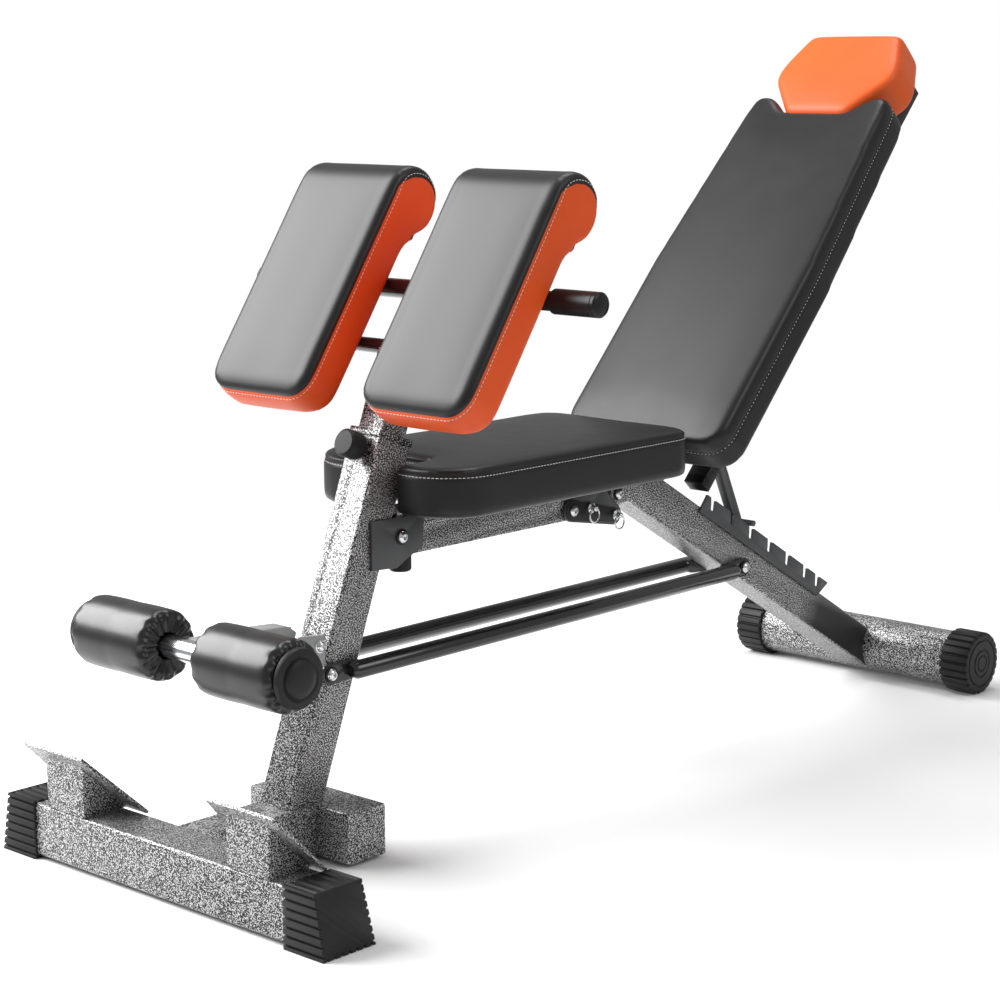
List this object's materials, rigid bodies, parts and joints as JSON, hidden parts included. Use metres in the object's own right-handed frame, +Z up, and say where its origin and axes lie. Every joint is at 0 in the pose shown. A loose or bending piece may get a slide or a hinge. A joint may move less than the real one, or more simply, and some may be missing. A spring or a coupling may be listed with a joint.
{
  "type": "adjustable weight bench",
  "caption": "Adjustable weight bench with a seat, a reclining backrest on a notched ladder, padded leg rollers, foot plates and sliding thigh pads with side grips.",
  "frame": {"origin": "on the floor, at the middle of the bench's bounding box", "axes": "+X across the bench, +Y from the leg rollers to the rear foot, +Z up"},
  "size_m": [0.534, 1.407, 0.8981],
  "materials": {
    "hammered_paint": "hammered silver and black",
    "dark_paint": "satin",
    "grey_paint": "satin",
    "gloss_paint": "gloss",
    "chrome": "polished",
    "plastic": "matte",
    "roller_foam": "soft cover over foam",
    "vinyl": "satin vinyl over foam",
    "orange_vinyl": "satin vinyl over foam",
    "board": "sealed board"
  },
  "bodies": {
    "frame": {"front_base_tube": "hammered_paint", "base_spine": "hammered_paint", "base_cross_block": "hammered_paint", "front_post": "hammered_paint", "post_collar": "plastic", "roller_arm": "grey_paint", "roller_bar": "chrome", "seat_pivot_bolt": "chrome", "rod_front_bolt": "chrome", "front_cap_left": "plastic", "front_cap_right": "plastic", "foot_plate_left": "hammered_paint", "foot_plate_right": "hammered_paint", "seat_bracket_left": "dark_paint", "seat_bracket_right": "dark_paint", "roller_cap_left": "plastic", "roller_cap_right": "plastic"},
    "roller_left": {"roller_left": "roller_foam"},
    "roller_right": {"roller_right": "roller_foam"},
    "post_knob": {"post_knob": "plastic"},
    "carriage": {"inner_post": "hammered_paint", "handle_bar": "gloss_paint", "pad_cross_bar": "gloss_paint", "grip_left": "plastic", "grip_right": "plastic", "thigh_pad_left": "orange_vinyl", "thigh_pad_right": "orange_vinyl", "thigh_board_left": "dark_paint", "thigh_board_right": "dark_paint"},
    "rods": {"rod_left": "gloss_paint", "rod_right": "gloss_paint", "rod_rear_bolt": "chrome"},
    "seat": {"seat_rail": "hammered_paint", "seat_board": "board", "seat_pad": "vinyl", "link_bolt": "chrome", "link_plate_left": "dark_paint", "link_plate_right": "dark_paint"},
    "rail_lock_knob": {"rail_lock_knob": "plastic"},
    "ring_pin_front": {"ring_pin_front": "chrome"},
    "ring_pin_rear": {"ring_pin_rear": "chrome"},
    "pull_ring_front": {"pull_ring_front": "chrome"},
    "pull_ring_rear": {"pull_ring_rear": "chrome"},
    "leg": {"rear_leg": "hammered_paint", "leg_pivot_bolt": "chrome", "rear_tube": "hammered_paint", "hinge_carrier": "dark_paint", "back_hinge_pin": "gloss_paint", "ladder_plate_left": "dark_paint", "ladder_plate_right": "dark_paint", "rear_cap_left": "plastic", "rear_cap_right": "plastic"},
    "back": {"back_rail": "dark_paint", "back_bracket": "dark_paint", "back_standoff": "dark_paint", "headrest_standoff": "dark_paint", "back_board": "board", "back_pad": "vinyl", "headrest": "orange_vinyl"},
    "strut": {"strut": "dark_paint"}
  },
  "joints": [
    {"name": "thigh_carriage_slide", "type": "slide", "parent": "frame", "child": "carriage", "axis": [0, 0.3486, 0.9373], "range_m": [-0.02, 0.1]},
    {"name": "post_knob_pull", "type": "slide", "parent": "frame", "child": "post_knob", "axis": [0, -0.9373, 0.3486], "range_m": [0, 0.008], "stiffness_N_per_m": 600, "springref_m": -0.005},
    {"name": "rail_lock_pull", "type": "slide", "parent": "seat", "child": "rail_lock_knob", "axis": [0, 0, -1], "range_m": [0, 0.01], "stiffness_N_per_m": 600, "springref_m": -0.005},
    {"name": "ring_pin_front_pull", "type": "slide", "parent": "seat", "child": "ring_pin_front", "axis": [1, 0, 0], "range_m": [0, 0.05]},
    {"name": "pull_ring_front_swing", "type": "hinge", "parent": "ring_pin_front", "child": "pull_ring_front", "pos_m": [0.0376, -0.02299, 0.3328], "axis": [0, -1, 0], "range_deg": [-15, 90]},
    {"name": "ring_pin_rear_pull", "type": "slide", "parent": "seat", "child": "ring_pin_rear", "axis": [1, 0, 0], "range_m": [0, 0.05]},
    {"name": "pull_ring_rear_swing", "type": "hinge", "parent": "ring_pin_rear", "child": "pull_ring_rear", "pos_m": [0.0376, 0.02461, 0.3174], "axis": [0, -1, 0], "range_deg": [-15, 90]},
    {"name": "roller_left_spin", "type": "hinge", "parent": "frame", "child": "roller_left", "pos_m": [0, -0.63009, 0.2586], "axis": [1, 0, 0], "continuous": true},
    {"name": "roller_right_spin", "type": "hinge", "parent": "frame", "child": "roller_right", "pos_m": [0, -0.63009, 0.2586], "axis": [1, 0, 0], "continuous": true},
    {"name": "seat_fold", "type": "hinge", "parent": "frame", "child": "seat", "pos_m": [0, -0.34699, 0.3441], "axis": [1, 0, 0], "range_deg": [0, 13]},
    {"name": "leg_fold", "type": "hinge", "parent": "seat", "child": "leg", "pos_m": [0, 0.03621, 0.3416], "axis": [1, 0, 0], "range_deg": [-11.8, 0]},
    {"name": "rod_fold", "type": "hinge", "parent": "frame", "child": "rods", "pos_m": [0, -0.45999, 0.207], "axis": [1, 0, 0], "range_deg": [0, 7.1]},
    {"name": "back_recline", "type": "hinge", "parent": "leg", "child": "back", "pos_m": [0, 0.15551, 0.3559], "axis": [1, 0, 0], "range_deg": [-16, 20]},
    {"name": "strut_swing", "type": "hinge", "parent": "back", "child": "strut", "pos_m": [0, 0.26388, 0.36311], "axis": [1, 0, 0], "range_deg": [-40, 32]}
  ],
  "couplings": [
    {"joint": "leg_fold", "follows": "seat_fold", "ratio": -0.905},
    {"joint": "rod_fold", "follows": "seat_fold", "ratio": 0.54},
    {"joint": "strut_swing", "follows": "back_recline", "ratio": -2}
  ]
}
